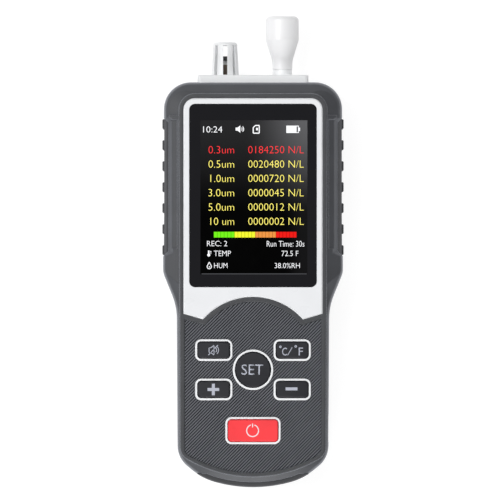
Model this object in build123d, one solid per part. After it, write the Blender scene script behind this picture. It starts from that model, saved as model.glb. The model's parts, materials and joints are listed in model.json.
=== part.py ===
from build123d import *
import os
from math import atan, atan2, cos, hypot, pi, radians, sin, sqrt, tan

# A hand-held airborne particle counter, lying on its back with the face up.
# Millimetres. X runs across the face, Y runs along the case towards the air inlet, and Z comes out of
# the face. The origin is below the middle of the overall length, on the surface that the back lies on.

os.makedirs("parts", exist_ok=True)

# ---- case: driving dimensions -----------------------------------------------------------------------
case_length = 188.8          # bottom of the handle to the top of the head
head_half_top = 41.5         # half width of the head at its top corners
head_half_low = 42.0         # half width of the head just above the waist
handle_half_top = 35.6       # half width of the handle below the waist
handle_half_low = 35.2       # half width of the handle at its bottom corners
waist_rise = 100.0           # from the case bottom up to where the waist starts to draw in
waist_slope_deg = 22.0       # angle of the waist's sides to the long axis
head_corner_radius = 12.6
waist_outer_radius = 10.0
waist_inner_radius = 30.0
bottom_radius = 66.0         # bow of the bottom end
slant_run = 10.8             # width of the slant at each side of the bow
slant_rise = 13.4            # where the slant meets the handle's side, above the case bottom
slant_radius = 30.0          # blend between bow and slant
bottom_corner_radius = 12.5

face_z = 38.0                # top of the raised rim round the face
parting_z = 20.0             # where the two shells meet
shell_wall = 2.5
shell_floor = 2.5
pad_wall = 2.2               # wall left behind the rubber pads
back_edge_radius = 6.0
parting_chamfer = 0.3
lip_thickness = 1.0          # the rear shell's lip stands inside the front shell along the parting
lip_height = 1.5
lip_root = 1.2               # lip fused to the rear wall below the parting
lip_gap = 0.15               # play round the lip
lip_headroom = 0.2
rim_wall = 1.5               # wall between the rim's outline and the hollow under the deck

# ---- rim, shoulders and recesses of the front shell -------------------------------------------------
rim_half_top = 34.6          # half width over the raised rim at the head
rim_half_low = 33.9          # and at the bottom of the handle
rim_top_drop = 5.4           # from the case top down to the rim
rim_bottom_rise = 4.9        # from the case bottom up to the rim
rim_corner_radius = 7.5
rim_bottom_corner_radius = 6.5
rim_height = 0.8             # rim above the inner edge of the shoulders
rim_chamfer = 0.3
shoulder_run = 21.0          # the shoulders fall away from the rim by this much sideways
shoulder_drop = 9.0          # for this much downwards
shoulder_seat = 1.4          # the shoulders start this far inside the rim's outline, under the rim
edge_radius = 3.6            # the side walls lean in along an arc of this radius below the shoulders
edge_steps = 3               # flats that make up this arc
edge_reach = 5.6             # the last flat runs up this far inside the case outline
recess_depth = 2.0           # rim top down to the deck that carries the fascia and keypad panel
deck_thickness = 2.5
deck_step = 2.5              # the hollow outside the rim ends this far below the deck
facet_depth = 0.5            # sunk panels in the head's side shoulders
facet_inner_gap = 0.7
facet_top_drop = 17.6
facet_waist_gap = 11.2        # from the waist up to the facets
ridge_width = 2.3            # raised cross ridge at each facet's upper end
ridge_height = 0.4
ridge_half = 39.0            # half width over the two ridges
ridge_bevel = 0.3

# ---- rubber pads ------------------------------------------------------------------------------------
grip_inset = 0.1             # pad face inside the case's half width at the head's top corners
grip_depth = 1.9
grip_top_drop = 16.9
grip_waist_gap = 8.2          # from the waist up to the pads
grip_low_z = 6.0
grip_high_z = 33.6
grip_rib_count = 7
grip_rib_length = 4.5
grip_rib_height = 0.9
grip_rib_first = 2.6         # centre of the first rib below the pad's upper end
grip_rib_last = 2.3          # centre of the last rib above its lower end
grip_rib_low_z = 9.5
grip_rib_high_z = 31.0
grip_rib_bevel = 0.35
grip_edge_bevel = 1.1
grip_rib_root = 0.4          # ribs fused into the pad
bed_bevel = 2.4              # slope from the front shoulders down to the pads' front edge
bumper_rise = 6.2            # the bottom bumper's ends, above the case bottom
bumper_depth = 2.3
bumper_low_z = 6.0
bumper_high_z = 34.6
bumper_bevel = 0.6
pad_gap = 0.05

# ---- fascia, lens and display -----------------------------------------------------------------------
fascia_half = 32.4
fascia_top_drop = 7.6
fascia_side_rise = 80.9       # case bottom to the ends of the fascia's sides
fascia_point_half = 23.2     # the two low points of the lower edge
fascia_point_rise = 78.2
fascia_arch_rise = 88.7       # top of the arch between the low points
fascia_corner_radius = 5.3
fascia_thickness = 2.5
fascia_bevel = 0.55
seat_gap = 0.1               # play of each inlay in its recess

lens_half = 29.6
lens_top_drop = 10.3
lens_bottom_rise = 93.3
lens_corner_radius = 2.7
lens_thickness = 1.5
lens_sink = 0.25             # lens top below the fascia top
lens_ledge = 1.3

lcd_width = 54.0
lcd_margin = 2.1              # lens beyond the display module at both ends
lcd_thickness = 3.4
lcd_centre_x = 0.4
lcd_to_lens = 0.3
lcd_play = 0.4
bracket_margin = 1.6         # screen bracket beyond the display module, all round
bracket_floor = 1.6
bracket_ledge = 5.0          # width of the bracket's floor under the module's edge
bracket_foot_radius = 1.5
bracket_foot_inset = 2.0
bracket_foot_root = 0.5      # feet fused into the tray

# ---- keypad -----------------------------------------------------------------------------------------
land_width = 2.35            # smooth land of the front shell between fascia and keypad panel
panel_half = 31.75
panel_bottom_rise = 6.8
panel_corner_radius = 3.0
panel_thickness = 1.55
rib_pitch = 1.074            # diagonal ribs of the panel, across the ribs
rib_angle_deg = 45.0
groove_width = 0.66
groove_depth = 0.45

key_column = 18.25           # left and right key columns from the middle
upper_row_rise = 63.95       # key rows above the case bottom
lower_row_rise = 45.65
power_row_rise = 26.5
small_key = (15.0, 7.7, 1.65)        # length, width, corner radius of a small key cap
round_key_radius = 8.25
power_key = (23.4, 10.3, 1.8)
cap_gap = 0.25               # play between a cap and its surround
surround_width = 0.95        # white surround beyond that gap
surround_height = 2.2
surround_bevel = 0.25
cap_height = 2.75            # cap above the deck
cap_bevel = 0.5
flange_width = 1.1           # retaining flange under the deck
flange_thickness = 1.1
key_stem_radius = 2.2
key_stem_length = 0.4
key_travel = 0.3

switch_side = 6.0
switch_floor = 1.9           # housing below the plunger at rest
switch_corner = 0.5
plunger_radius = 1.7
plunger_gap = 0.06
plunger_depth = 1.5          # length of plunger inside the switch at rest
plunger_reach = 1.0          # plunger above the switch housing
plunger_spare = 0.2          # room left under a plunger that is pressed home

# ---- boards -----------------------------------------------------------------------------------------
board_thickness = 1.6
board_half = 29.0
board_top_drop = 19.0
board_step_rise = 27.0       # the board narrows below this height above the case bottom
board_bottom_rise = 18.5
board_tongue_half = 19.0
board_boss_x = 23.0
board_boss_upper_rise = 82.5
board_boss_lower_rise = 37.0
board_boss_radius = 2.6
board_post_x = 27.3
board_post_radius = 1.7
board_post_drops = (69.0, 24.6)

# ---- screws -----------------------------------------------------------------------------------------
top_screw_half = 33.0
top_screw_drop = 9.8         # below the case top
waist_screw_half = 33.3
waist_screw_gap = 3.5        # above the waist
handle_screw_half = 24.5
handle_screw_rise = 15.2
case_boss_radius = 3.6
case_boss_taper = 0.4        # the front shell's bosses are slimmer by this
case_screw_radius = 1.25
case_screw_head_radius = 2.4
case_screw_head_height = 1.8
case_screw_grip = 8.0        # plastic under a screw's head, up to the parting plane
case_screw_bite = 9.0        # thread length in the front shell
board_screw_radius = 1.0
board_screw_head_radius = 1.9
board_screw_head_height = 1.3
board_screw_bite = 4.5
screw_play = 0.15
case_thread_spare = 0.5      # threaded hole beyond a screw's end
board_thread_spare = 0.3
thread_gap = 0.02
cross_width = 0.7
cross_depth = 0.9
cross_share = 0.7            # cross recess as a share of the head

# ---- ports in the right side of the handle ----------------------------------------------------------
port_rise = 27.55            # ports' middle above the case bottom
port_recess_length = 14.1
port_recess_depth = 0.5
port_recess_margin = 1.6
port_recess_radius = 1.5
usb_width = 9.0
usb_height = 3.2
usb_depth = 7.4
usb_shell = 0.35
usb_flat = 0.05              # its ends are round but for this
usb_tongue = (6.6, 0.7, 5.0)
usb_back = 0.8               # closed end of the socket's shell
usb_tongue_root = 0.4        # tongue fused into that end
usb_mouth_inset = 0.6        # mouth behind the bottom of the port recess
card_socket_width = 13.0
card_socket_height = 1.9
card_socket_depth = 14.0
card_width = 11.0
card_thickness = 0.8
card_length = 14.1           # the card ends flush with the bottom of the port recess
card_spare = 0.2             # room behind the card
card_play = 0.1
card_mouth_gap = 0.4         # socket's mouth behind the case wall
card_spare = 0.2             # room behind the card
card_play = 0.1
card_mouth_gap = 0.4         # socket's mouth behind the case wall
port_play = 0.3

# ---- top plate, probe and inlet ---------------------------------------------------------------------
plate_half = 25.85
plate_low_z = 7.5
plate_high_z = 32.5
plate_rise = 3.4             # plate above the case top
plate_sink = 0.5             # plate seated below the case top
plate_corner_radius = 1.5
plate_bevel = 0.4
plate_plug_inset = 2.2       # plug that enters the case, inside the plate's outline
plate_plug_depth = 2.6
plate_play = 0.15
plate_hole_depth = 10.0      # the hole for the plug runs through the top wall

probe_x = -13.0
guard_base_radius = 6.5
guard_top_radius = 5.6
guard_height = 15.6
guard_wall = 1.5
guard_crown = 1.6            # solid end above the slots
guard_slot_width = 1.96
guard_slot_count = 8
guard_foot = 0.3             # closed ring below the slots
guard_plug_radius = 5.5
guard_plug_depth = 3.6
guard_top_fillet = 1.4

probe_board_width = 6.4
probe_board_thickness = 1.0
probe_board_above = 9.2      # probe board above the top plate
probe_board_below = 17.0
humidity_chip = (2.6, 2.0, 1.0)
humidity_chip_rise = 7.95
temperature_chip = (3.6, 4.9, 1.4)
temperature_chip_rise = 2.65

inlet_x = 13.7
collar_radius = 4.6
collar_height = 2.6
nozzle_shank_radius = 3.5
spigot_radius = 3.0
spigot_length = 10.5
nozzle_bore_radius = 1.4
barb_radius = 2.25
barb_length = 8.0
ring_section = 0.42
ring_rise = 6.0              # o-ring above the collar
ring_proud = 0.03            # o-ring beyond the spigot
ring_end_play = 0.08
horn_length = 25.2
horn_radius = 7.75
horn_mouth_radius = 5.2
horn_foot_step = 0.1         # the horn's foot beyond the collar it stands on
horn_foot_chamfer = 0.25
horn_neck_radius = 4.75
horn_neck_length = 2.2
horn_cone_radius = 5.3       # where the flare becomes a straight cone
horn_cone_rise = 6.0
horn_straight = 11.15        # straight outer wall down from the lip
horn_lip_radius = 2.1
horn_mouth_depth = 12.0
horn_lip_chamfer = 0.3
running_gap = 0.06

# ---- sensing module ---------------------------------------------------------------------------------
sensor_half = 25.0
sensor_length = 42.0
sensor_top_drop = 22.8
sensor_height = 22.0
sensor_edge_radius = 1.5
port_length = 6.0
hose_outer_radius = 3.3
hose_end_gap = 0.3
hose_play = 0.05
fan_x = -11.0
fan_rise = 13.0              # fan centre above the sensor's lower end
fan_pocket_radius = 11.0
fan_pocket_depth = 8.0
rotor_radius = 10.2
rotor_height = 6.0
rotor_hub_radius = 4.0
rotor_blades = 7
rotor_blade_thickness = 0.9
rotor_blade_sweep_deg = 35.0
rotor_blade_bow = 0.62       # share of the sweep reached halfway along a blade
rotor_blade_root = 0.4       # blades fused into the hub
rotor_blade_low = 0.4        # blades above the hub's lower end
rotor_blade_high = 0.2       # and below its upper end
rotor_floor_gap = 1.0
axle_floor_gap = 0.8
axle_radius = 1.0
vent_count = 5
vent_width = 1.6
vent_pitch = 3.4
vent_length = 16.0

# ---- battery, buzzer, tripod insert -----------------------------------------------------------------
cell_radius = 9.2
cell_length = 65.0
cell_rise = 22.0             # lower end of the cell above the case bottom
cell_nub_radius = 3.0
cell_nub_height = 1.0
cell_nub_root = 0.7          # nub fused into the can
cell_edge_radius = 0.5
cradle_wall = 1.6
cradle_floor = 1.0
cradle_height = 9.0
cradle_end_gap = 0.3
cell_gap = 0.1
buzzer_radius = 6.0
buzzer_height = 5.4
buzzer_hole_radius = 1.0
buzzer_hole_depth = 1.5
buzzer_x = 20.5
buzzer_rise = 66.0
tripod_hole_radius = 2.6
tripod_insert_radius = 4.2
tripod_insert_length = 6.5
tripod_sink = 0.3
tripod_boss_radius = 7.0
tripod_boss_end = 1.5        # plastic over the insert's inner end

# ---- positions that follow --------------------------------------------------------------------------
overall_length = case_length + plate_rise + collar_height + horn_length
bottom_y = -overall_length / 2
top_y = bottom_y + case_length
plate_y = top_y + plate_rise
collar_y = plate_y + collar_height

grip_half = head_half_top - grip_inset
waist_top_drop = case_length - waist_rise
facet_bottom_drop = waist_top_drop - facet_waist_gap
grip_bottom_drop = waist_top_drop - grip_waist_gap
grip_rib_first_drop = grip_top_drop + grip_rib_first
grip_rib_pitch = (grip_bottom_drop - grip_rib_last - grip_rib_first_drop) / (grip_rib_count - 1)
fascia_side_drop = case_length - fascia_side_rise
fascia_point_drop = case_length - fascia_point_rise
fascia_arch_drop = case_length - fascia_arch_rise
lens_bottom_drop = case_length - lens_bottom_rise
lcd_length = lens_bottom_drop - lens_top_drop - 2 * lcd_margin
case_screw_places = ((top_screw_half, top_screw_drop), (waist_screw_half, waist_top_drop - waist_screw_gap))

deck_z = face_z - recess_depth
deck_low_z = deck_z - deck_thickness
shoulder_z = face_z - rim_height
shoulder_slope = shoulder_drop / shoulder_run
fascia_z = deck_z + fascia_thickness
lens_z = fascia_z - lens_sink
lens_low_z = lens_z - lens_thickness
lcd_z = lens_low_z - lcd_to_lens
lcd_low_z = lcd_z - lcd_thickness
lcd_y = top_y - (lens_top_drop + lens_bottom_drop) / 2
cap_flange_low_z = deck_low_z - flange_thickness
stem_low_z = cap_flange_low_z - key_stem_length
switch_z = stem_low_z - plunger_reach
switch_height = plunger_depth + switch_floor
board_z = switch_z - switch_height
board_low_z = board_z - board_thickness
boss_step_z = deck_low_z - deck_step
axis_z = (plate_low_z + plate_high_z) / 2
sensor_high_y = top_y - sensor_top_drop
sensor_low_y = sensor_high_y - sensor_length
fan_y = sensor_low_y + fan_rise
port_y = bottom_y + port_rise
fascia_arch_y = top_y - fascia_arch_drop
cell_y = bottom_y + cell_rise
cell_top_y = cell_y + cell_length + cell_nub_height
tripod_y = (cell_top_y + cradle_end_gap + cradle_wall + sensor_low_y) / 2
upper_row_y = bottom_y + upper_row_rise
lower_row_y = bottom_y + lower_row_rise
power_row_y = bottom_y + power_row_rise
far = 60.0                   # reach of cutting tools past the case
fascia_reach = 5.0           # the panel's blank runs this far up under the fascia, before it is trimmed
least_radius = 0.4           # smallest corner radius of a rounded slab


# ---- helpers ----------------------------------------------------------------------------------------
def prism(face, low_z, high_z):
    """A flat outline raised from one height to another."""
    return extrude(Pos(0, 0, low_z) * face, amount=high_z - low_z)


def block(x_range, y_range, z_range):
    """A box between three pairs of limits."""
    size = [high - low for low, high in (x_range, y_range, z_range)]
    middle = [(high + low) / 2 for low, high in (x_range, y_range, z_range)]
    return Pos(*middle) * Box(*size)


def post(x, y, radius, low_z, high_z):
    """An upright cylinder."""
    return Pos(x, y, (low_z + high_z) / 2) * Cylinder(radius, high_z - low_z)


def rod(x, radius, low_y, high_y):
    """A cylinder along Y on the height of the probe and inlet."""
    return Pos(x, (low_y + high_y) / 2, axis_z) * Rot(90, 0, 0) * Cylinder(radius, high_y - low_y)


def round_pairs(face, corners):
    """Rounds corners of a symmetric outline: each entry is half width, height and radius."""
    for half, height, radius in corners:
        for side in (-1, 1):
            spot = Vector(side * half, height, 0)
            corner = min(face.vertices(), key=lambda vertex: (vertex.center() - spot).length)
            face = fillet(corner, radius)
    return face


def fitted(radius, room, turn):
    """A corner's radius, limited so that its rounding takes up no more of a wall than the room."""
    return min(radius, room / tan(turn / 2))


def rounded_slab(centre_x, centre_y, size, extra=0.0):
    """A rectangle with rounded corners, grown all round by extra."""
    length, width, radius = size
    grown = RectangleRounded(length + 2 * extra, width + 2 * extra, max(radius + extra, least_radius))
    return Pos(centre_x, centre_y) * grown


def bowed_outline(halves, lowest):
    """Joins side corners, listed from the top down for the right side, with a bowed lower end."""
    right = list(halves)
    left = [(-half, height) for half, height in reversed(right)]
    end_half = right[-1][0]
    sides = Polyline(*left, *right)
    bow = ThreePointArc((end_half, right[-1][1]), (0, lowest), (-end_half, right[-1][1]))
    return make_face([sides, bow])


def bow_corner(half, lowest, bow_radius):
    """Height at which a bow of the given radius meets a side at the given half width."""
    return lowest + bow_radius - sqrt(bow_radius**2 - half**2)


# ---- outlines on the face ---------------------------------------------------------------------------
def case_outline():
    """Outer outline: wide head, drawn-in waist, narrow handle, and a bowed bottom between two slants."""
    waist_y = top_y - waist_top_drop
    waist_run = (head_half_low - handle_half_top) / tan(radians(waist_slope_deg))
    slant_half = handle_half_low - slant_run
    slant_low = bow_corner(slant_half, bottom_y, bottom_radius)
    halves = [
        (head_half_top, top_y),
        (head_half_low, waist_y),
        (handle_half_top, waist_y - waist_run),
        (handle_half_low, bottom_y + slant_rise),
        (slant_half, slant_low),
    ]
    outline = bowed_outline(halves, bottom_y)
    waist_length = (head_half_low - handle_half_top) / sin(radians(waist_slope_deg))
    slant_height = bottom_y + slant_rise - slant_low
    slant_length = hypot(slant_run, slant_height)
    slant_turn = atan2(slant_height, slant_run)
    bow_turn = atan2(slant_half, sqrt(bottom_radius**2 - slant_half**2))
    radii = (
        head_corner_radius,
        fitted(waist_outer_radius, waist_length / 4, radians(waist_slope_deg)),
        fitted(waist_inner_radius, waist_length / 2, radians(waist_slope_deg)),
        fitted(bottom_corner_radius, slant_length / 2, pi / 2 - slant_turn),
        fitted(slant_radius, slant_length * 0.4, slant_turn - bow_turn),
    )
    return round_pairs(outline, [(*spot, radius) for spot, radius in zip(halves, radii)])


def rim_outline():
    """Outer edge of the raised rim, nearly straight from the head to the handle."""
    low = bottom_y + rim_bottom_rise
    bow = bottom_radius - rim_bottom_rise
    halves = [(rim_half_top, top_y - rim_top_drop), (rim_half_low, bow_corner(rim_half_low, low, bow))]
    outline = bowed_outline(halves, low)
    radii = (rim_corner_radius, rim_bottom_corner_radius)
    return round_pairs(outline, [(*spot, radius) for spot, radius in zip(halves, radii)])


def fascia_outline():
    """White fascia: straight sides and a lower edge that arches over the keypad."""
    side_y = top_y - fascia_side_drop
    point_y = top_y - fascia_point_drop
    high_y = top_y - fascia_top_drop
    sides = Polyline(
        (-fascia_point_half, point_y),
        (-fascia_half, side_y),
        (-fascia_half, high_y),
        (fascia_half, high_y),
        (fascia_half, side_y),
        (fascia_point_half, point_y),
    )
    arch = ThreePointArc((fascia_point_half, point_y), (0, fascia_arch_y), (-fascia_point_half, point_y))
    return round_pairs(make_face([sides, arch]), [(fascia_half, high_y, fascia_corner_radius)])


def panel_outline():
    """Ribbed keypad panel: it follows the fascia's lower edge at the land's width."""
    low = bottom_y + panel_bottom_rise
    bow = bottom_radius - panel_bottom_rise
    corner_y = bow_corner(panel_half, low, bow)
    blank = bowed_outline([(panel_half, fascia_arch_y + fascia_reach), (panel_half, corner_y)], low)
    blank = round_pairs(blank, [(panel_half, corner_y, panel_corner_radius)])
    return blank - offset(fascia_outline(), land_width, kind=Kind.INTERSECTION)


CASE = case_outline()
RIM = rim_outline()
FASCIA = fascia_outline()
PANEL = panel_outline()


def inset(face, distance):
    """The same outline moved inwards, or outwards if the distance is negative."""
    return offset(face, -distance, kind=Kind.INTERSECTION)


def grip_bed(side):
    """Bed of a side grip in plan, with ends cut at 45 degrees."""
    high = top_y - grip_top_drop
    low = top_y - grip_bottom_drop
    inner = grip_half - grip_depth
    outer = grip_half + far
    spots = [
        (inner, high - grip_depth),
        (outer, high + far),
        (outer, low - far),
        (inner, low + grip_depth),
    ]
    return make_face(Polyline(*[(side * x, y) for x, y in spots], close=True))


def bottom_strip(rise, depth):
    """All that lies outside the case outline moved in by a depth, up to a rise above the case bottom."""
    window = Pos(0, bottom_y + rise - far / 2) * Rectangle(2 * far, far)
    return window - inset(CASE, depth)


def cavity_outline():
    """Inside of the shells, with thicker walls behind the rubber pads."""
    inner = inset(CASE, shell_wall)
    high = top_y - grip_top_drop + pad_wall
    low = top_y - grip_bottom_drop - pad_wall
    pad_x = grip_half - grip_depth - pad_wall
    for side in (-1, 1):
        inner -= Pos(side * (pad_x + far / 2), (high + low) / 2) * Rectangle(far, high - low)
    return inner - bottom_strip(bumper_rise + pad_wall, bumper_depth + pad_wall)


CAVITY = cavity_outline()
case_screws_xy = [(side * half, top_y - drop) for half, drop in case_screw_places for side in (-1, 1)]
case_screws_xy += [(side * handle_screw_half, bottom_y + handle_screw_rise) for side in (-1, 1)]
board_screws_xy = [
    (side * board_boss_x, bottom_y + rise)
    for rise in (board_boss_upper_rise, board_boss_lower_rise)
    for side in (-1, 1)
]
lcd_size = (lcd_width, lcd_length, 1.0)


# ---- keys -------------------------------------------------------------------------------------------
def small_cap(x, y):
    return lambda extra: rounded_slab(x, y, small_key, extra)


key_shapes = {
    "mute": small_cap(-key_column, upper_row_y),
    "units": small_cap(key_column, upper_row_y),
    "plus": small_cap(-key_column, lower_row_y),
    "minus": small_cap(key_column, lower_row_y),
    "set": lambda extra: Pos(0, (upper_row_y + lower_row_y) / 2) * Circle(round_key_radius + extra),
    "power": lambda extra: rounded_slab(0, power_row_y, power_key, extra),
}
key_centres = {
    "mute": (-key_column, upper_row_y),
    "units": (key_column, upper_row_y),
    "plus": (-key_column, lower_row_y),
    "minus": (key_column, lower_row_y),
    "set": (0, (upper_row_y + lower_row_y) / 2),
    "power": (0, power_row_y),
}


def key_surround(shape):
    """White ring round a key, standing on the deck."""
    ring = prism(shape(cap_gap + surround_width), deck_z, deck_z + surround_height)
    ring = chamfer(ring.edges().group_by(Axis.Z)[-1], surround_bevel)
    return ring - prism(shape(cap_gap), deck_z - 1, deck_z + surround_height + 1)


def key(shape, centre):
    """Cap that passes through the deck, with its retaining flange and stem below."""
    cap = prism(shape(0), deck_low_z, deck_z + cap_height)
    cap = chamfer(cap.edges().group_by(Axis.Z)[-1], cap_bevel)
    cap += prism(shape(flange_width), cap_flange_low_z, deck_low_z)
    return cap + post(*centre, key_stem_radius, stem_low_z, cap_flange_low_z)


def switch(centre):
    """Square housing on the board, with a blind hole for its plunger."""
    x, y = centre
    half = switch_side / 2
    body = block((x - half, x + half), (y - half, y + half), (board_z, switch_z))
    body = chamfer(body.edges().filter_by(Axis.Z), switch_corner)
    depth = plunger_depth + key_travel + plunger_spare
    return body - post(x, y, plunger_radius + plunger_gap, switch_z - depth, switch_z + 1)


def plunger(centre):
    return post(*centre, plunger_radius, switch_z - plunger_depth, stem_low_z)


def keypad_panel():
    """Panel with diagonal ribs, cut by one groove between each two, and a hole for each surround."""
    panel = prism(PANEL, deck_z, deck_z + panel_thickness)
    box = PANEL.bounding_box()
    middle = box.center()
    reach = box.diagonal / 2
    top = deck_z + panel_thickness
    half = groove_width / 2
    groove = make_face(Polyline((-half, 0), (0, -groove_depth), (half, 0), (0, groove_depth), close=True))
    count = int(reach / rib_pitch)
    grooves = []
    for step in range(-count, count + 1):
        bar = extrude(Plane.XZ * Pos(step * rib_pitch, 0) * groove, amount=reach, both=True)
        grooves.append(Pos(middle.X, middle.Y, top) * Rot(0, 0, -rib_angle_deg) * bar)
    panel -= grooves
    for shape in key_shapes.values():
        panel -= prism(shape(cap_gap + surround_width + seat_gap), deck_z - 1, top + 1)
    return panel


# ---- shells -----------------------------------------------------------------------------------------
def sloping_shoulders():
    """Solid that falls away from the rim all round."""
    top = Pos(0, 0, shoulder_z + shoulder_seat * shoulder_slope) * inset(RIM, shoulder_seat)
    low = Pos(0, 0, shoulder_z - shoulder_drop) * inset(RIM, -shoulder_run)
    crown = loft([low.face(), top.face()], ruled=True)
    return crown + prism(inset(RIM, -shoulder_run), 0, shoulder_z - shoulder_drop)


def leaning_wall():
    """Case outline raised from the parting plane, leaning in along an arc towards the shoulders."""
    tilt = atan(shoulder_slope)
    side_z = shoulder_z - (head_half_top - rim_half_top) * shoulder_slope
    centre_z = side_z - edge_radius * tan(pi / 4 - tilt / 2)
    levels = [(parting_chamfer, parting_z), (0, parting_z + parting_chamfer), (0, centre_z)]
    for step in range(1, edge_steps + 1):
        turn = (pi / 2 - tilt) * step / edge_steps
        levels.append((edge_radius * (1 - cos(turn)), centre_z + edge_radius * sin(turn)))
    (start_in, start_z), (end_in, end_z) = levels[-2:]
    climb = (end_z - start_z) / (end_in - start_in)
    levels[-1] = (edge_reach, start_z + (edge_reach - start_in) * climb)
    levels.append((edge_reach, levels[-1][1] + 1))
    return loft([(Pos(0, 0, z) * inset(CASE, amount)).face() for amount, z in levels], ruled=True)


def front_envelope():
    """Outside of the front shell without the rim and recesses."""
    return leaning_wall() & sloping_shoulders()


def rear_envelope():
    """Outside of the rear shell: flat back with a large rounding."""
    body = prism(CASE, 0, parting_z)
    body = fillet(body.edges().group_by(Axis.Z)[0], back_edge_radius)
    return chamfer(body.edges().group_by(Axis.Z)[-1], parting_chamfer)


def side_facet(side):
    """Shallow sunk panel in one of the head's side shoulders."""
    inner = rim_half_top + facet_inner_gap
    outer = grip_half + 1
    drop = (outer - rim_half_top) * shoulder_slope
    floor_in = shoulder_z - (inner - rim_half_top) * shoulder_slope - facet_depth
    floor_out = shoulder_z - drop - facet_depth
    roof = shoulder_z + 1
    corners = [(inner, floor_in), (outer, floor_out), (outer, roof), (inner, roof)]
    profile = make_face(Polyline(*corners, close=True))
    low = top_y - facet_bottom_drop
    length = facet_bottom_drop - facet_top_drop
    bar = extrude(Plane.XZ * profile, amount=-length)
    bar = Pos(0, low, 0) * bar
    return bar if side > 0 else mirror(bar, about=Plane.YZ)


def shoulder_ridge(side):
    """Low ridge across a shoulder, from the rim to the head's side."""
    inner = rim_half_top - ridge_height
    drop_in = (inner - rim_half_top) * shoulder_slope
    drop_out = (ridge_half - rim_half_top) * shoulder_slope
    top_z = shoulder_z + ridge_height
    foot_z = shoulder_z - ridge_width
    corners = [
        (inner, top_z - drop_in),
        (ridge_half, top_z - drop_out),
        (ridge_half, foot_z - drop_out),
        (inner, foot_z),
    ]
    profile = make_face(Polyline(*corners, close=True))
    bar = Pos(0, top_y - facet_top_drop, 0) * extrude(Plane.XZ * profile, amount=-ridge_width)
    crest = bar.faces().sort_by(Axis.Z)[-1]
    bar = chamfer(crest.edges().filter_by(Axis.Y, reverse=True), ridge_bevel)
    bar &= prism(RIM + inset(CASE, shell_wall), 0, face_z)
    return bar if side > 0 else mirror(bar, about=Plane.YZ)


def bed_slope(side):
    """Cut that widens a side grip's bed towards the front."""
    low = Pos(0, 0, grip_high_z) * grip_bed(side)
    high = Pos(0, 0, grip_high_z + bed_bevel) * inset(grip_bed(side), -bed_bevel)
    return loft([low.face(), high.face()], ruled=True)


def plate_opening():
    """Space in the top wall for the plate and its plug."""
    plate = plate_slab(plate_play, top_y - plate_sink, top_y + far)
    plug = plate_slab(plate_play - plate_plug_inset, top_y - plate_hole_depth, top_y)
    return plate + plug


def plate_slab(extra, low_y, high_y):
    """Rounded slab across the top of the case, grown by extra."""
    width = 2 * (plate_half + extra)
    height = plate_high_z - plate_low_z + 2 * extra
    face = RectangleRounded(width, height, plate_corner_radius)
    return Pos(0, low_y, axis_z) * extrude(Plane.XZ * face, amount=-(high_y - low_y))


def port_cuts():
    """Recess and two openings for the charging socket and the memory card."""
    side_x = handle_half_low
    usb_mid_z = board_z + usb_height / 2
    card_mid_z = board_low_z - card_socket_height / 2
    high = usb_mid_z + usb_height / 2 + port_recess_margin
    low = card_mid_z - card_socket_height / 2 - port_recess_margin / 2
    half = port_recess_length / 2
    recess = block(
        (side_x - port_recess_depth, side_x + far),
        (port_y - half, port_y + half),
        (low, high),
    )
    recess = fillet(recess.edges().filter_by(Axis.X), port_recess_radius)
    usb_face = RectangleRounded(usb_width + 2 * port_play, usb_height + 2 * port_play, usb_height / 2)
    usb = Pos(side_x - 2 * shell_wall, port_y, usb_mid_z) * extrude(Plane.YZ * usb_face, amount=far)
    card = block(
        (side_x - 2 * shell_wall, side_x + far),
        (port_y - card_width / 2 - port_play, port_y + card_width / 2 + port_play),
        (card_mid_z - card_thickness / 2 - port_play, card_mid_z + card_thickness / 2 + port_play),
    )
    return [recess, usb, card]


def front_shell():
    body = front_envelope() + chamfered_rim()
    body -= prism(inset(FASCIA, -seat_gap), deck_z, face_z + 1)
    body -= prism(inset(PANEL, -seat_gap), deck_z, face_z + 1)
    body -= prism(CAVITY, parting_z - 1, boss_step_z)
    body -= prism(CAVITY & inset(RIM, rim_wall), parting_z - 1, deck_low_z)
    lip_bed = inset(CAVITY, -lip_thickness - lip_gap)
    body -= prism(lip_bed, parting_z - 1, parting_z + lip_height + lip_headroom)
    body -= [prism(grip_bed(side), 0, face_z) for side in (-1, 1)]
    body -= prism(bottom_strip(bumper_rise, bumper_depth), 0, face_z)
    body -= [side_facet(side) for side in (-1, 1)]
    body += [shoulder_ridge(side) for side in (-1, 1)]
    body -= [bed_slope(side) for side in (-1, 1)]
    slim_radius = case_boss_radius - case_boss_taper
    body += [post(x, y, slim_radius, parting_z, deck_low_z) for x, y in case_screws_xy]
    body += [post(x, y, board_boss_radius, board_z, deck_low_z) for x, y in board_screws_xy]
    thread = case_screw_radius + thread_gap
    hole_top = parting_z + case_screw_bite + case_thread_spare
    body -= [post(x, y, thread, parting_z - 1, hole_top) for x, y in case_screws_xy]
    thread = board_screw_radius + thread_gap
    hole_top = board_z + board_screw_bite + board_thread_spare
    body -= [post(x, y, thread, board_z - 1, hole_top) for x, y in board_screws_xy]
    body -= prism(rounded_slab(lcd_centre_x, lcd_y, lcd_size, lcd_play), deck_low_z - 1, deck_z + 1)
    body -= [prism(shape(cap_gap), deck_low_z - 1, deck_z + 1) for shape in key_shapes.values()]
    body -= plate_opening()
    body -= port_cuts()
    return body


def chamfered_rim():
    """Raised rim round the face, before the fascia and keypad recesses are cut."""
    rim = prism(RIM, deck_low_z, face_z)
    return chamfer(rim.edges().group_by(Axis.Z)[-1], rim_chamfer)


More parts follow.
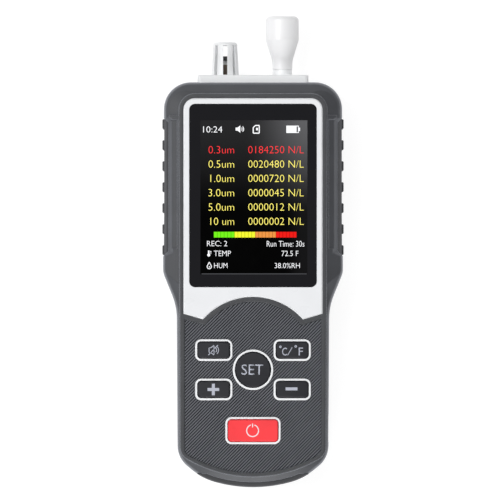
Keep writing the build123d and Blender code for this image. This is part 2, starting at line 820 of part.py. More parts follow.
def rear_shell():
    body = rear_envelope() - prism(CAVITY, shell_floor, parting_z + 1)
    lip = prism(inset(CAVITY, -lip_thickness), parting_z - lip_root, parting_z + lip_height)
    lip -= prism(CAVITY, 0, face_z)
    body += lip
    body -= [prism(grip_bed(side), grip_low_z, face_z) for side in (-1, 1)]
    body -= prism(bottom_strip(bumper_rise, bumper_depth), bumper_low_z, face_z)
    body += [post(x, y, case_boss_radius, shell_floor / 2, parting_z) for x, y in case_screws_xy]
    head_z = parting_z - case_screw_grip
    body -= [post(x, y, case_screw_head_radius + screw_play, -1, head_z) for x, y in case_screws_xy]
    body -= [post(x, y, case_screw_radius + screw_play, 0, parting_z + 1) for x, y in case_screws_xy]
    for drop in board_post_drops:
        for side in (-1, 1):
            body += post(side * board_post_x, top_y - drop, board_post_radius, shell_floor / 2, board_low_z)
    insert_top = tripod_sink + tripod_insert_length
    body += post(0, tripod_y, tripod_boss_radius, shell_floor / 2, insert_top + tripod_boss_end)
    body -= post(0, tripod_y, tripod_insert_radius + thread_gap, -1, insert_top)
    for step in range(vent_count):
        x = fan_x + (step - (vent_count - 1) / 2) * vent_pitch
        slot = SlotOverall(vent_length, vent_width, rotation=90)
        body -= prism(Pos(x, fan_y) * slot, -1, shell_floor + 1)
    body -= plate_opening()
    return body


# ---- rubber pads ------------------------------------------------------------------------------------
def side_grip(side):
    """Rubber pad let into the head's side, with proud cross ribs."""
    outline = grip_bed(side) & (Rectangle(2 * grip_half, 4 * case_length))
    pad = prism(outline, grip_low_z, grip_high_z)
    outer_edges = pad.faces().sort_by(Axis.X)[-1 if side > 0 else 0].edges()
    pad = chamfer(outer_edges.filter_by(Axis.Y), grip_edge_bevel)
    for index in range(grip_rib_count):
        middle = top_y - grip_rib_first_drop - index * grip_rib_pitch
        half = grip_rib_length / 2
        limits = sorted((side * (grip_half - grip_rib_root), side * (grip_half + grip_rib_height)))
        rib = block(limits, (middle - half, middle + half), (grip_rib_low_z, grip_rib_high_z))
        crest = rib.faces().sort_by(Axis.X)[-1 if side > 0 else 0]
        pad += chamfer(crest.edges(), grip_rib_bevel) & prism(grip_bed(side), 0, face_z)
    return pad


def bottom_bumper():
    """Rubber pad let into the bowed bottom end."""
    outline = CASE & bottom_strip(bumper_rise - pad_gap, bumper_depth - pad_gap)
    pad = prism(outline, bumper_low_z, bumper_high_z)
    return chamfer(pad.edges().group_by(Axis.Z)[-1].sort_by(Axis.Y)[0], bumper_bevel)


# ---- face inlays ------------------------------------------------------------------------------------
def lens_outline(extra=0.0):
    size = (2 * lens_half, lens_bottom_drop - lens_top_drop, lens_corner_radius)
    return rounded_slab(0, lcd_y, size, extra)


def screen_fascia():
    """White frame with a bevelled edge, a pocket for the lens and a ledge below it."""
    body = prism(FASCIA, deck_z, fascia_z)
    body = chamfer(body.edges().group_by(Axis.Z)[-1], fascia_bevel)
    body -= prism(lens_outline(seat_gap), lens_low_z, fascia_z + 1)
    return body - prism(lens_outline(-lens_ledge), deck_z - 1, fascia_z + 1)


def display_lens():
    return prism(lens_outline(), lens_low_z, lens_z)


def lcd_module():
    return prism(rounded_slab(lcd_centre_x, lcd_y, lcd_size), lcd_low_z, lcd_z)


def lcd_bracket():
    """Tray that holds the display module against the deck, on four feet that stand on the board."""
    outer = rounded_slab(lcd_centre_x, lcd_y, lcd_size, bracket_margin)
    floor_z = lcd_low_z - bracket_floor
    tray = prism(outer, floor_z, deck_low_z)
    tray -= prism(rounded_slab(lcd_centre_x, lcd_y, lcd_size, lcd_play), lcd_low_z, deck_low_z + 1)
    tray -= prism(rounded_slab(lcd_centre_x, lcd_y, lcd_size, -bracket_ledge), floor_z - 1, deck_low_z)
    foot_x = lcd_width / 2 + bracket_margin - bracket_foot_inset
    low_foot_y = lcd_y - lcd_length / 2 - bracket_margin + bracket_foot_inset
    high_foot_y = top_y - board_top_drop - bracket_foot_inset
    foot_top = floor_z + bracket_foot_root
    for foot_y in (low_foot_y, high_foot_y):
        for side in (-1, 1):
            tray += post(lcd_centre_x + side * foot_x, foot_y, bracket_foot_radius, board_z, foot_top)
    return tray


# ---- top plate, probe and inlet ---------------------------------------------------------------------
def top_plate():
    """White plate that closes the top of the case and carries the probe and the inlet."""
    slab = plate_slab(0, top_y - plate_sink, plate_y)
    slab = chamfer(slab.edges().group_by(Axis.Y)[-1], plate_bevel)
    slab += plate_slab(-plate_plug_inset, top_y - plate_sink - plate_plug_depth, top_y - plate_sink)
    slab -= rod(probe_x, guard_plug_radius + pad_gap, plate_y - guard_plug_depth, plate_y + 1)
    half_width = probe_board_width / 2 + pad_gap
    half_depth = probe_board_thickness / 2 + pad_gap
    slab -= block(
        (probe_x - half_width, probe_x + half_width),
        (top_y - far, plate_y),
        (axis_z - half_depth, axis_z + half_depth),
    )
    return slab - rod(inlet_x, nozzle_shank_radius + pad_gap, top_y - far, plate_y + 1)


def turned(spots):
    """Solid of revolution about Y from radius and height pairs."""
    return revolve(make_face(Polyline(*spots, close=True)), Axis.Y)


def probe_guard():
    """Tapered cage with eight upright slots over the temperature and humidity sensors."""
    high = guard_height
    outer = turned([(0, 0), (guard_base_radius, 0), (guard_top_radius, high), (0, high)])
    outer = fillet(outer.edges().group_by(Axis.Y)[-1], guard_top_fillet)
    plug = [(0, -guard_plug_depth), (guard_plug_radius, -guard_plug_depth), (guard_plug_radius, 0), (0, 0)]
    outer += turned(plug)
    inner_low = guard_plug_radius - guard_wall
    inner_high = guard_top_radius - guard_wall
    slot_top = high - guard_crown
    plug_low = -guard_plug_depth - 1
    hollow = [(0, plug_low), (inner_low, plug_low), (inner_low, 0), (inner_high, slot_top), (0, slot_top)]
    outer -= turned(hollow)
    slot = block((-guard_slot_width / 2, guard_slot_width / 2), (guard_foot, slot_top), (-far, far))
    for index in range(guard_slot_count // 2):
        outer -= Rot(0, index * 360 / guard_slot_count, 0) * slot
    return Pos(probe_x, plate_y, axis_z) * outer


def chip(size, rise):
    """Small component on the front of the probe board."""
    width, length, height = size
    front_z = axis_z + probe_board_thickness / 2
    mid_y = plate_y + rise
    return block(
        (probe_x - width / 2, probe_x + width / 2),
        (mid_y - length / 2, mid_y + length / 2),
        (front_z, front_z + height),
    )


def probe_board():
    half_width = probe_board_width / 2
    half_depth = probe_board_thickness / 2
    return block(
        (probe_x - half_width, probe_x + half_width),
        (plate_y - probe_board_below, plate_y + probe_board_above),
        (axis_z - half_depth, axis_z + half_depth),
    )


def inlet_nozzle():
    """Collar on the plate, a spigot for the horn above it and a hose barb below."""
    plug_low = plate_y - plate_rise - plate_sink - plate_plug_depth
    body = rod(inlet_x, collar_radius, plate_y, collar_y)
    body += rod(inlet_x, spigot_radius, collar_y, collar_y + spigot_length)
    body += rod(inlet_x, nozzle_shank_radius, plug_low, plate_y)
    body += rod(inlet_x, barb_radius, plug_low - barb_length, plug_low)
    ring_y = collar_y + ring_rise
    ring_half = ring_section + ring_end_play
    groove = rod(inlet_x, spigot_radius + 1, ring_y - ring_half, ring_y + ring_half)
    groove -= rod(inlet_x, spigot_radius + ring_proud - 2 * ring_section, ring_y - 1, ring_y + 1)
    body -= groove
    return body - rod(inlet_x, nozzle_bore_radius, plug_low - far, collar_y + far)


def nozzle_o_ring():
    middle = spigot_radius + ring_proud - ring_section
    ring = Torus(middle, ring_section - thread_gap / 2)
    return Pos(inlet_x, collar_y + ring_rise, axis_z) * Rot(90, 0, 0) * ring


def inlet_horn():
    """Flared sampling horn that pulls off the spigot."""
    high = horn_length
    bore = spigot_radius + running_gap
    neck_low = (collar_radius + horn_foot_step, horn_foot_chamfer)
    neck_top = (horn_neck_radius, horn_neck_length)
    cone_low = (horn_cone_radius, horn_cone_rise)
    cone_top = (horn_radius, high - horn_straight)
    climb = (cone_top[0] - cone_low[0], cone_top[1] - cone_low[1])
    outline = Polyline((bore, 0), (neck_low[0] - horn_foot_chamfer, 0), neck_low, neck_top)
    flare = Spline(neck_top, cone_low, tangents=((0.02, 1), climb))
    cone = Line(cone_low, cone_top)
    lip_low = (horn_radius, high - horn_lip_radius)
    lip_top = (horn_radius - horn_lip_radius, high)
    wall = Line(cone_top, lip_low)
    bend = horn_lip_radius * (1 - sin(radians(45)))
    lip = ThreePointArc(lip_low, (horn_radius - bend, high - bend), lip_top)
    mouth_floor = high - horn_mouth_depth
    inside = Polyline(
        lip_top,
        (horn_mouth_radius + horn_lip_chamfer, high),
        (horn_mouth_radius, high - horn_lip_chamfer),
        (horn_mouth_radius, mouth_floor),
        (bore, mouth_floor - (horn_mouth_radius - bore)),
        (bore, 0),
    )
    section = make_face([outline, flare, cone, wall, lip, inside])
    return Pos(inlet_x, collar_y, axis_z) * revolve(section, Axis.Y)


# ---- sensing module ---------------------------------------------------------------------------------
def laser_sensor_case():
    """Closed optical chamber with a hose port, a fan pocket in its back and the fan's fixed axle."""
    floor_z = shell_floor
    heights = (floor_z, floor_z + sensor_height)
    body = block((-sensor_half, sensor_half), (sensor_low_y, sensor_high_y), heights)
    body = fillet(body.edges().filter_by(Axis.Z), sensor_edge_radius)
    body += rod(inlet_x, barb_radius, sensor_high_y - 1, sensor_high_y + port_length)
    body -= rod(inlet_x, nozzle_bore_radius, sensor_high_y - 6, sensor_high_y + far)
    ceiling = floor_z + fan_pocket_depth
    body -= post(fan_x, fan_y, fan_pocket_radius, floor_z - 1, ceiling)
    return body + post(fan_x, fan_y, axle_radius, floor_z + axle_floor_gap, ceiling)


def fan_rotor():
    """Hub with swept blades."""
    low_z = shell_floor + rotor_floor_gap
    high_z = low_z + rotor_height
    inner = rotor_hub_radius - rotor_blade_root
    sweep = radians(rotor_blade_sweep_deg)
    middle = (rotor_radius + inner) / 2
    spine = ThreePointArc(
        (inner, 0),
        (middle * cos(sweep * rotor_blade_bow), middle * sin(sweep * rotor_blade_bow)),
        (rotor_radius * cos(sweep), rotor_radius * sin(sweep)),
    )
    blade = prism(trace(spine, rotor_blade_thickness), low_z + rotor_blade_low, high_z - rotor_blade_high)
    rotor = post(0, 0, rotor_hub_radius, low_z, high_z)
    for index in range(rotor_blades):
        rotor += Rot(0, 0, index * 360 / rotor_blades) * blade
    rotor -= post(0, 0, axle_radius + running_gap, 0, face_z)
    return Pos(fan_x, fan_y, 0) * rotor


def inlet_tube():
    """Soft hose from the nozzle's barb to the sensor's port."""
    high = plate_y - plate_rise - plate_sink - plate_plug_depth - hose_end_gap
    low = sensor_high_y + hose_end_gap
    hollow = rod(inlet_x, barb_radius + hose_play, low - 1, high + 1)
    return rod(inlet_x, hose_outer_radius, low, high) - hollow


# ---- boards and battery -----------------------------------------------------------------------------
def main_board():
    """Circuit board, narrowed at its lower end between the screw posts."""
    high = top_y - board_top_drop
    step = bottom_y + board_step_rise
    low = bottom_y + board_bottom_rise
    board = block((-board_half, board_half), (step, high), (board_low_z, board_z))
    board += block((-board_tongue_half, board_tongue_half), (low, step), (board_low_z, board_z))
    hole = board_screw_radius + screw_play
    return board - [post(x, y, hole, board_low_z - 1, board_z + 1) for x, y in board_screws_xy]


def lying(z, radius, low_y, high_y):
    """A cylinder along Y on the case's middle line."""
    return Pos(0, (low_y + high_y) / 2, z) * Rot(90, 0, 0) * Cylinder(radius, high_y - low_y)


def battery_cell():
    z = shell_floor + cradle_floor + cell_gap + cell_radius
    top = cell_y + cell_length
    can = lying(z, cell_radius, cell_y, top)
    can = fillet(can.edges(), cell_edge_radius)
    return can + lying(z, cell_nub_radius, top - cell_nub_root, top + cell_nub_height)


def battery_cradle():
    """Trough with end walls that holds the cell on the rear shell's floor."""
    z = shell_floor + cradle_floor + cell_gap + cell_radius
    half = cell_radius + cell_gap + cradle_wall
    low = cell_y - cradle_end_gap
    high = cell_y + cell_length + cell_nub_height + cradle_end_gap
    ends = (low - cradle_wall, high + cradle_wall)
    body = block((-half, half), ends, (shell_floor, shell_floor + cradle_height))
    return body - lying(z, cell_radius + cell_gap, low, high)


def buzzer():
    y = bottom_y + buzzer_rise
    low = board_low_z - buzzer_height
    body = post(buzzer_x, y, buzzer_radius, low, board_low_z)
    return body - post(buzzer_x, y, buzzer_hole_radius, low - 1, low + buzzer_hole_depth)


def usb_socket():
    """Metal shell with its contact tongue, open to the right."""
    back = handle_half_low - port_recess_depth - usb_mouth_inset - usb_depth
    mid_z = board_z + usb_height / 2
    radius = usb_height / 2 - usb_flat
    outer = RectangleRounded(usb_width, usb_height, radius)
    inner = RectangleRounded(usb_width - 2 * usb_shell, usb_height - 2 * usb_shell, radius - usb_shell)
    body = Pos(back, port_y, mid_z) * extrude(Plane.YZ * outer, amount=usb_depth)
    body -= Pos(back + usb_back, port_y, mid_z) * extrude(Plane.YZ * inner, amount=usb_depth)
    width, height, length = usb_tongue
    return body + block(
        (back + usb_tongue_root, back + usb_back + length),
        (port_y - width / 2, port_y + width / 2),
        (mid_z - height / 2, mid_z + height / 2),
    )


def card_middle_z():
    return board_low_z - card_socket_height / 2


def card_outer_x():
    return handle_half_low - port_recess_depth


def card_socket():
    """Flat socket under the board, open to the right."""
    mouth = handle_half_low - shell_wall - card_mouth_gap
    half = card_socket_width / 2
    heights = (board_low_z - card_socket_height, board_low_z)
    body = block((mouth - card_socket_depth, mouth), (port_y - half, port_y + half), heights)
    half = card_width / 2 + card_play
    thick = card_thickness / 2 + card_play
    z = card_middle_z()
    inner_x = card_outer_x() - card_length - card_spare
    return body - block((inner_x, mouth + 1), (port_y - half, port_y + half), (z - thick, z + thick))


def memory_card():
    z = card_middle_z()
    half = card_width / 2
    return block(
        (card_outer_x() - card_length, card_outer_x()),
        (port_y - half, port_y + half),
        (z - card_thickness / 2, z + card_thickness / 2),
    )


# ---- fasteners --------------------------------------------------------------------------------------
def screw(x, y, head_z, radius, head_radius, head_height, length):
    """Pan-head screw driven towards the face, with a cross recess."""
    body = post(x, y, head_radius, head_z - head_height, head_z)
    body += post(x, y, radius, head_z, head_z + length)
    low = head_z - head_height
    arm = head_radius * cross_share
    half = cross_width / 2
    body -= block((x - arm, x + arm), (y - half, y + half), (low - 1, low + cross_depth))
    return body - block((x - half, x + half), (y - arm, y + arm), (low - 1, low + cross_depth))


def case_screws():
    length = case_screw_grip + case_screw_bite
    size = (case_screw_radius, case_screw_head_radius, case_screw_head_height, length)
    return [screw(x, y, parting_z - case_screw_grip, *size) for x, y in case_screws_xy]


def board_screws():
    length = board_thickness + board_screw_bite
    size = (board_screw_radius, board_screw_head_radius, board_screw_head_height, length)
    return [screw(x, y, board_low_z, *size) for x, y in board_screws_xy]


def tripod_insert():
    """Brass bush with the tripod thread's minor diameter."""
    top = tripod_sink + tripod_insert_length
    bush = post(0, tripod_y, tripod_insert_radius, tripod_sink, top)
    return bush - post(0, tripod_y, tripod_hole_radius, -1, top + 1)


# ---- write every piece ------------------------------------------------------------------------------
def write(name, shape):
    """Writes one piece, or a group of separate identical pieces, under its own name."""
    solids = Compound(children=list(shape)) if isinstance(shape, list) else shape
    export_step(solids, f"parts/{name}.step")


write("front_shell", front_shell())
write("rear_shell", rear_shell())
write("left_grip", side_grip(-1))
write("right_grip", side_grip(1))
write("bottom_bumper", bottom_bumper())
write("screen_fascia", screen_fascia())
write("display_lens", display_lens())
write("lcd_module", lcd_module())
write("lcd_bracket", lcd_bracket())
write("keypad_panel", keypad_panel())
for name, shape in key_shapes.items():
    write(f"{name}_surround", key_surround(shape))
    write(f"{name}_key", key(shape, key_centres[name]))
    write(f"{name}_switch", switch(key_centres[name]))
    write(f"{name}_plunger", plunger(key_centres[name]))
write("top_plate", top_plate())
write("probe_guard", probe_guard())
write("probe_board", probe_board())
write("humidity_sensor", chip(humidity_chip, humidity_chip_rise))
write("temperature_sensor", chip(temperature_chip, temperature_chip_rise))
write("inlet_nozzle", inlet_nozzle())
write("nozzle_o_ring", nozzle_o_ring())
write("inlet_horn", inlet_horn())
write("inlet_tube", inlet_tube())
write("laser_sensor_case", laser_sensor_case())
write("fan_rotor", fan_rotor())
write("main_board", main_board())
write("battery_cell", battery_cell())
write("battery_cradle", battery_cradle())
write("buzzer", buzzer())
write("usb_socket", usb_socket())
write("card_socket", card_socket())
write("memory_card", memory_card())
write("case_screws", case_screws())
write("board_screws", board_screws())
write("tripod_insert", tripod_insert())
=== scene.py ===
# %% [markdown]
# # A hand-held particle counter, dressed for the studio
# The instrument counts airborne dust in clean rooms. Its case, keys, rubber pads, probe and inlet come
# finished in shape from a CAD model, so this lesson dresses them: it gives each part the finish that it
# has in the hand, prints the key legends, lights up the display, and sets up a photographer's table.
# The loader brings in the CAD parts.

# %% Load the frame
import json
from math import cos, radians, sin

import bmesh
import bpy
from mathutils import Matrix, Vector


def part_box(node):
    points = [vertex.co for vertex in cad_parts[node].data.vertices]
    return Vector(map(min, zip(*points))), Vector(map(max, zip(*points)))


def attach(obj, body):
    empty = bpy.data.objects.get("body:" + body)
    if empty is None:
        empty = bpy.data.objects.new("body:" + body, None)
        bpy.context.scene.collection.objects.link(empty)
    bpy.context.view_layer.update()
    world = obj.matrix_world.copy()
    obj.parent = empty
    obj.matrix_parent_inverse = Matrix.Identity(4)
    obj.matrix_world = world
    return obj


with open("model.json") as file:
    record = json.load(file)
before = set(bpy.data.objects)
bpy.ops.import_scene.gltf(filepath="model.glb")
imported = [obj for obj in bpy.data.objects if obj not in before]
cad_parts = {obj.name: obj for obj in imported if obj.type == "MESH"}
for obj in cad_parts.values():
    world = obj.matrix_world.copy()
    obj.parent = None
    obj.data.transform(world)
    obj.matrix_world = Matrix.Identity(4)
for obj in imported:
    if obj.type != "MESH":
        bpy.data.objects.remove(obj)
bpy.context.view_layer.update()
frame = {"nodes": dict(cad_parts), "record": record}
MM = 0.001
parts = frame["nodes"]
slot_of = {entry["node"]: entry["material_slot"] for entry in frame["record"]["subparts"]}

# %% [markdown]
# ## Nodes for the finishes
# A finish could come from image textures, but those need unwrapping and go soft close up. Here every
# finish is a node graph on Object coordinates, so a grain keeps its real size on every part. A few small
# helpers keep those graphs short: where the shaded point is, a noise of a given size, and a map from one
# run of values onto another.

# %% Node helpers
def start_finish(name, color, roughness):
    """A new material with its shader's plain values set, and its node tree."""
    material = bpy.data.materials.new(name)
    material.use_nodes = True
    tree = material.node_tree
    shader = tree.nodes["Principled BSDF"]
    shader.inputs["Base Color"].default_value = (*color, 1)
    shader.inputs["Roughness"].default_value = roughness
    return material, tree, shader


def place_in(tree, space):
    """Position of the shaded point, as Object or Generated coordinates."""
    return tree.nodes.new("ShaderNodeTexCoord").outputs[space]


def along(tree, vector, axis):
    """One coordinate of a vector."""
    apart = tree.nodes.new("ShaderNodeSeparateXYZ")
    tree.links.new(vector, apart.inputs["Vector"])
    return apart.outputs[axis]


def ranged(tree, value, start, end, low=0.0, high=1.0, smooth=False):
    """Maps a value that runs from start to end onto a run from low to high."""
    ramp = tree.nodes.new("ShaderNodeMapRange")
    if smooth:
        ramp.interpolation_type = "SMOOTHSTEP"
    ramp.inputs["From Min"].default_value = start
    ramp.inputs["From Max"].default_value = end
    ramp.inputs["To Min"].default_value = low
    ramp.inputs["To Max"].default_value = high
    tree.links.new(value, ramp.inputs["Value"])
    return ramp.outputs["Result"]


def noise(tree, size_mm, detail=2.0):
    """Noise whose features are about size_mm across, in Object coordinates."""
    grain = tree.nodes.new("ShaderNodeTexNoise")
    grain.inputs["Scale"].default_value = 1 / (size_mm * MM)
    grain.inputs["Detail"].default_value = detail
    tree.links.new(place_in(tree, "Object"), grain.inputs["Vector"])
    return grain.outputs["Fac"]


NOISE_LOW, NOISE_HIGH = 0.3, 0.7


def spread(tree, value, low, high):
    """Stretches the middle of a noise, where nearly all of it lies, to a range of values."""
    return ranged(tree, value, NOISE_LOW, NOISE_HIGH, low, high)

# %% [markdown]
# ## Colour and relief
# A real finish is never one flat colour, so its colour wanders between a darker and a lighter one. Its
# relief is a bump from fine noise. A bevel node under it makes the light see each edge as rounded, which
# leaves the CAD mesh alone. On dark plastics a painted sheen may be added too: the colour is lightened
# where the surface turns away from the eye, a painted highlight along the edges.

# %% Colour and relief
def tint(tree, value, dark, light):
    """A colour between two, picked by a noise."""
    mix = tree.nodes.new("ShaderNodeMix")
    mix.data_type = "RGBA"
    mix.inputs["A"].default_value = (*dark, 1)
    mix.inputs["B"].default_value = (*light, 1)
    tree.links.new(spread(tree, value, 0, 1), mix.inputs["Factor"])
    return mix.outputs["Result"]


def scaled(tree, color, amount):
    """A colour times a number."""
    product = tree.nodes.new("ShaderNodeVectorMath")
    product.operation = "SCALE"
    tree.links.new(color, product.inputs[0])
    tree.links.new(amount, product.inputs["Scale"])
    return product.outputs["Vector"]


def raised(tree, shader, height, depth_mm):
    """Bump of a given depth, from a height that runs from 0 to 1."""
    bump = tree.nodes.new("ShaderNodeBump")
    bump.inputs["Strength"].default_value = 1
    bump.inputs["Distance"].default_value = depth_mm * MM
    tree.links.new(height, bump.inputs["Height"])
    tree.links.new(bump.outputs["Normal"], shader.inputs["Normal"])
    return bump


GRAIN_DETAIL, CORNER_SAMPLES = 3, 4


def grained(tree, shader, size_mm, depth_mm, corner_mm=0.0):
    """Bump from fine noise, over corners that the light sees as rounded."""
    bump = raised(tree, shader, noise(tree, size_mm, GRAIN_DETAIL), depth_mm)
    if corner_mm:
        corner = tree.nodes.new("ShaderNodeBevel")
        corner.samples = CORNER_SAMPLES
        corner.inputs["Radius"].default_value = corner_mm * MM
        tree.links.new(corner.outputs["Normal"], bump.inputs["Normal"])
    return bump.outputs["Normal"]


PAINTED_SHEEN_POWER = 1.5


def painted_glancing_sheen(tree, color, painted_sheen_gain, normal):
    """Painted sheen: a colour lightened where the surface turns away from the eye."""
    view = tree.nodes.new("ShaderNodeLayerWeight")
    tree.links.new(normal, view.inputs["Normal"])
    late = tree.nodes.new("ShaderNodeMath")
    late.operation = "POWER"
    late.inputs[1].default_value = PAINTED_SHEEN_POWER
    tree.links.new(view.outputs["Facing"], late.inputs[0])
    amount = tree.nodes.new("ShaderNodeMath")
    amount.operation = "MULTIPLY_ADD"
    amount.inputs[1].default_value = painted_sheen_gain
    amount.inputs[2].default_value = 1
    tree.links.new(late.outputs["Value"], amount.inputs[0])
    return scaled(tree, color, amount.outputs["Value"])

# %% [markdown]
# ## Moulded finishes
# The tool's eroded surface gives moulded plastic its fine grain, and its gloss drifts a little from place
# to place. One maker of finishes serves all the moulded parts, because they differ only in colour, gloss,
# grain and how strong a painted sheen they get towards their edges.

# %% A maker of moulded finishes
CLOUD_MM, GLOSS_MM, GLOSS_DRIFT = 9, 14, 0.05


def moulded(name, color, roughness, grain_mm=0.35, depth_mm=0.012, corner_mm=0.25, uneven=0.06, painted_sheen_gain=0.0):
    """Moulded plastic or rubber: fine grain, drifting gloss, uneven colour and, if asked, a painted sheen.
    """
    material, tree, shader = start_finish(name, color, roughness)
    dark = [channel * (1 - uneven) for channel in color]
    light = [min(channel * (1 + uneven), 1) for channel in color]
    normal = grained(tree, shader, grain_mm, depth_mm, corner_mm)
    tone_and_painted_sheen = tint(tree, noise(tree, CLOUD_MM), dark, light)
    if painted_sheen_gain:
        tone_and_painted_sheen = painted_glancing_sheen(tree, tone_and_painted_sheen, painted_sheen_gain, normal)
    tree.links.new(tone_and_painted_sheen, shader.inputs["Base Color"])
    gloss = spread(tree, noise(tree, GLOSS_MM), roughness - GLOSS_DRIFT, roughness + GLOSS_DRIFT)
    tree.links.new(gloss, shader.inputs["Roughness"])
    return material


def shaded_grooves(material, crest, depth, shade, lift):
    """Darkens a finish towards the bottom of grooves cut down from a crest height, where light is lost."""
    tree = material.node_tree
    base = tree.nodes["Principled BSDF"].inputs["Base Color"]
    height = along(tree, place_in(tree, "Object"), "Z")
    amount = ranged(tree, height, crest - depth, crest, shade, lift)
    tree.links.new(scaled(tree, base.links[0].from_socket, amount), base)

# %% [markdown]
# ## The plastics and rubbers
# The case is charcoal plastic with a satin, spark-eroded grain. The pads are a softer and darker rubber
# with a coarser tooth and no polish. The fascia and the key surrounds are bright white and smoother. The
# panel between the keys is finely ribbed, and its grooves are darkened by height, because so little
# light comes back out of a slot this narrow.

# %% Plastics and rubbers
CHARCOAL = (0.040, 0.042, 0.047)
PANEL_GREY = (0.075, 0.078, 0.089)
RUBBER_GREY = (0.042, 0.043, 0.047)
WHITE = (0.80, 0.81, 0.83)
KEY_GREY = (0.005, 0.0055, 0.010)
CORAL = (0.94, 0.040, 0.050)
BLACK = (0.004, 0.004, 0.006)

PLATE_WHITE = (0.83, 0.84, 0.85)
NOZZLE_WHITE = (0.90, 0.91, 0.92)
HORN_WHITE = (0.86, 0.86, 0.87)
SURROUND_WHITE = (0.88, 0.89, 0.91)
EVEN = 0.015
smooth_white = {"grain_mm": 0.4, "depth_mm": 0.004, "uneven": EVEN}

finishes = {
    # The case and the pads get a painted sheen: their colour is lightened towards edges that turn from the
    # eye.
    "shell_plastic": moulded("charcoal_shell", CHARCOAL, 0.46, corner_mm=0.9, painted_sheen_gain=9.0),
    "panel_plastic": moulded(
        "ribbed_panel", PANEL_GREY, 0.42, grain_mm=0.5, depth_mm=0.004, corner_mm=0.08
    ),
    "pad_rubber": moulded("pad_rubber", RUBBER_GREY, 0.68, grain_mm=0.5, depth_mm=0.02, painted_sheen_gain=5.0),
    "fascia_white": moulded(
        "white_fascia", WHITE, 0.30, grain_mm=0.5, depth_mm=0.003, corner_mm=0.3, uneven=EVEN
    ),
    "surround_white": moulded(
        "white_surround", SURROUND_WHITE, 0.30, grain_mm=0.5, depth_mm=0.002, corner_mm=0.15, uneven=EVEN
    ),
    "plate_white": moulded("white_plate", PLATE_WHITE, 0.38, grain_mm=0.4, depth_mm=0.006, uneven=EVEN),
    "nozzle_white": moulded("white_nozzle", NOZZLE_WHITE, 0.34, **smooth_white),
    "horn_white": moulded("white_horn", HORN_WHITE, 0.36, **smooth_white),
    "key_dark": moulded("dark_key", KEY_GREY, 0.40, grain_mm=0.4, depth_mm=0.006, corner_mm=0.3),
    "key_red": moulded("coral_key", CORAL, 0.36, grain_mm=0.4, depth_mm=0.005, corner_mm=0.35),
    "inner_plastic": moulded("inner_plastic", (0.045, 0.045, 0.045), 0.55),
    "switch_black": moulded("switch_housing", (0.03, 0.03, 0.03), 0.45),
    "plunger_white": moulded("switch_plunger", (0.72, 0.72, 0.70), 0.45),
    "chip_black": moulded("black_component", (0.028, 0.028, 0.03), 0.5),
    "chip_brown": moulded("brown_component", (0.085, 0.055, 0.035), 0.5),
    "seal_rubber": moulded("seal_rubber", (0.02, 0.02, 0.02), 0.45),
    "probe_board_white": moulded("white_board", (0.72, 0.73, 0.72), 0.4),
    "cell_wrap": moulded("cell_wrap", (0.025, 0.12, 0.34), 0.25, grain_mm=4, depth_mm=0.02),
    "hose_silicone": moulded("silicone_hose", (0.66, 0.67, 0.66), 0.35),
}
GROOVE_DEPTH = 0.4 * MM
panel_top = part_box("keypad_panel")[1][2]
shaded_grooves(finishes["panel_plastic"], panel_top, GROOVE_DEPTH, shade=0.15, lift=1.45)
print("moulded finishes:", len(finishes))

# %% [markdown]
# ## Metals and the circuit board
# The metal parts sit inside or at a socket's mouth. Stamped steel shows fine drawn lines, so its noise
# is stretched along one axis. The board's lacquer is a glossy green over slightly raised copper tracks.

# %% Metals and board
LINES_PER_METRE, LINE_DEPTH_MM = 500, 0.004
LINE_SHINE, LINE_DULLNESS = 0.08, 0.10
TRACKS_PER_METRE, TRACK_DEPTH_MM = 220, 0.03
LACQUER_MM = 8


def drawn_metal(name, color, roughness, stretch=14):
    """Metal with fine lines along Y: a noise squeezed in the other directions."""
    material, tree, shader = start_finish(name, color, roughness)
    shader.inputs["Metallic"].default_value = 1
    squeeze = tree.nodes.new("ShaderNodeMapping")
    squeeze.inputs["Scale"].default_value = (stretch, 1, stretch)
    lines = tree.nodes.new("ShaderNodeTexNoise")
    lines.inputs["Scale"].default_value = LINES_PER_METRE
    tree.links.new(place_in(tree, "Object"), squeeze.inputs["Vector"])
    tree.links.new(squeeze.outputs["Vector"], lines.inputs["Vector"])
    gloss = spread(tree, lines.outputs["Fac"], roughness - LINE_SHINE, roughness + LINE_DULLNESS)
    tree.links.new(gloss, shader.inputs["Roughness"])
    raised(tree, shader, lines.outputs["Fac"], LINE_DEPTH_MM)
    return material


def lacquered_board(name):
    """Green lacquer, a little lighter and raised where copper runs below it."""
    material, tree, shader = start_finish(name, (0.01, 0.11, 0.045), 0.3)
    tracks = tree.nodes.new("ShaderNodeTexVoronoi")
    tracks.distance = "MANHATTAN"
    tracks.feature = "DISTANCE_TO_EDGE"
    tracks.inputs["Scale"].default_value = TRACKS_PER_METRE
    tree.links.new(place_in(tree, "Object"), tracks.inputs["Vector"])
    color = tint(tree, tracks.outputs["Distance"], (0.02, 0.20, 0.08), (0.008, 0.09, 0.04))
    tree.links.new(color, shader.inputs["Base Color"])
    raised(tree, shader, tracks.outputs["Distance"], TRACK_DEPTH_MM)
    tree.links.new(spread(tree, noise(tree, LACQUER_MM), 0.26, 0.36), shader.inputs["Roughness"])
    return material


finishes["socket_steel"] = drawn_metal("stamped_steel", (0.62, 0.62, 0.61), 0.30)
finishes["screw_steel"] = drawn_metal("screw_steel", (0.30, 0.30, 0.31), 0.38)
finishes["insert_brass"] = drawn_metal("turned_brass", (0.74, 0.55, 0.26), 0.28)
finishes["sensor_metal"] = drawn_metal("cast_sensor", (0.55, 0.56, 0.57), 0.45, stretch=2)
finishes["board_green"] = lacquered_board("board_lacquer")
print("finishes with metals and board:", len(finishes))

# %% [markdown]
# ## Lens and display
# The lens is a sheet of clear plastic, printed black behind its border, and the lit display is bonded
# to its back. From outside that is one polished black surface with the characters shining out of it,
# so the lens is a deep, smooth black, and the lit area that shows through it is a thin leaf laid on it.

# %% Lens finish
WAVE_MM, WAVE_DEPTH_MM = 12, 0.003
SMEAR_MM = 6


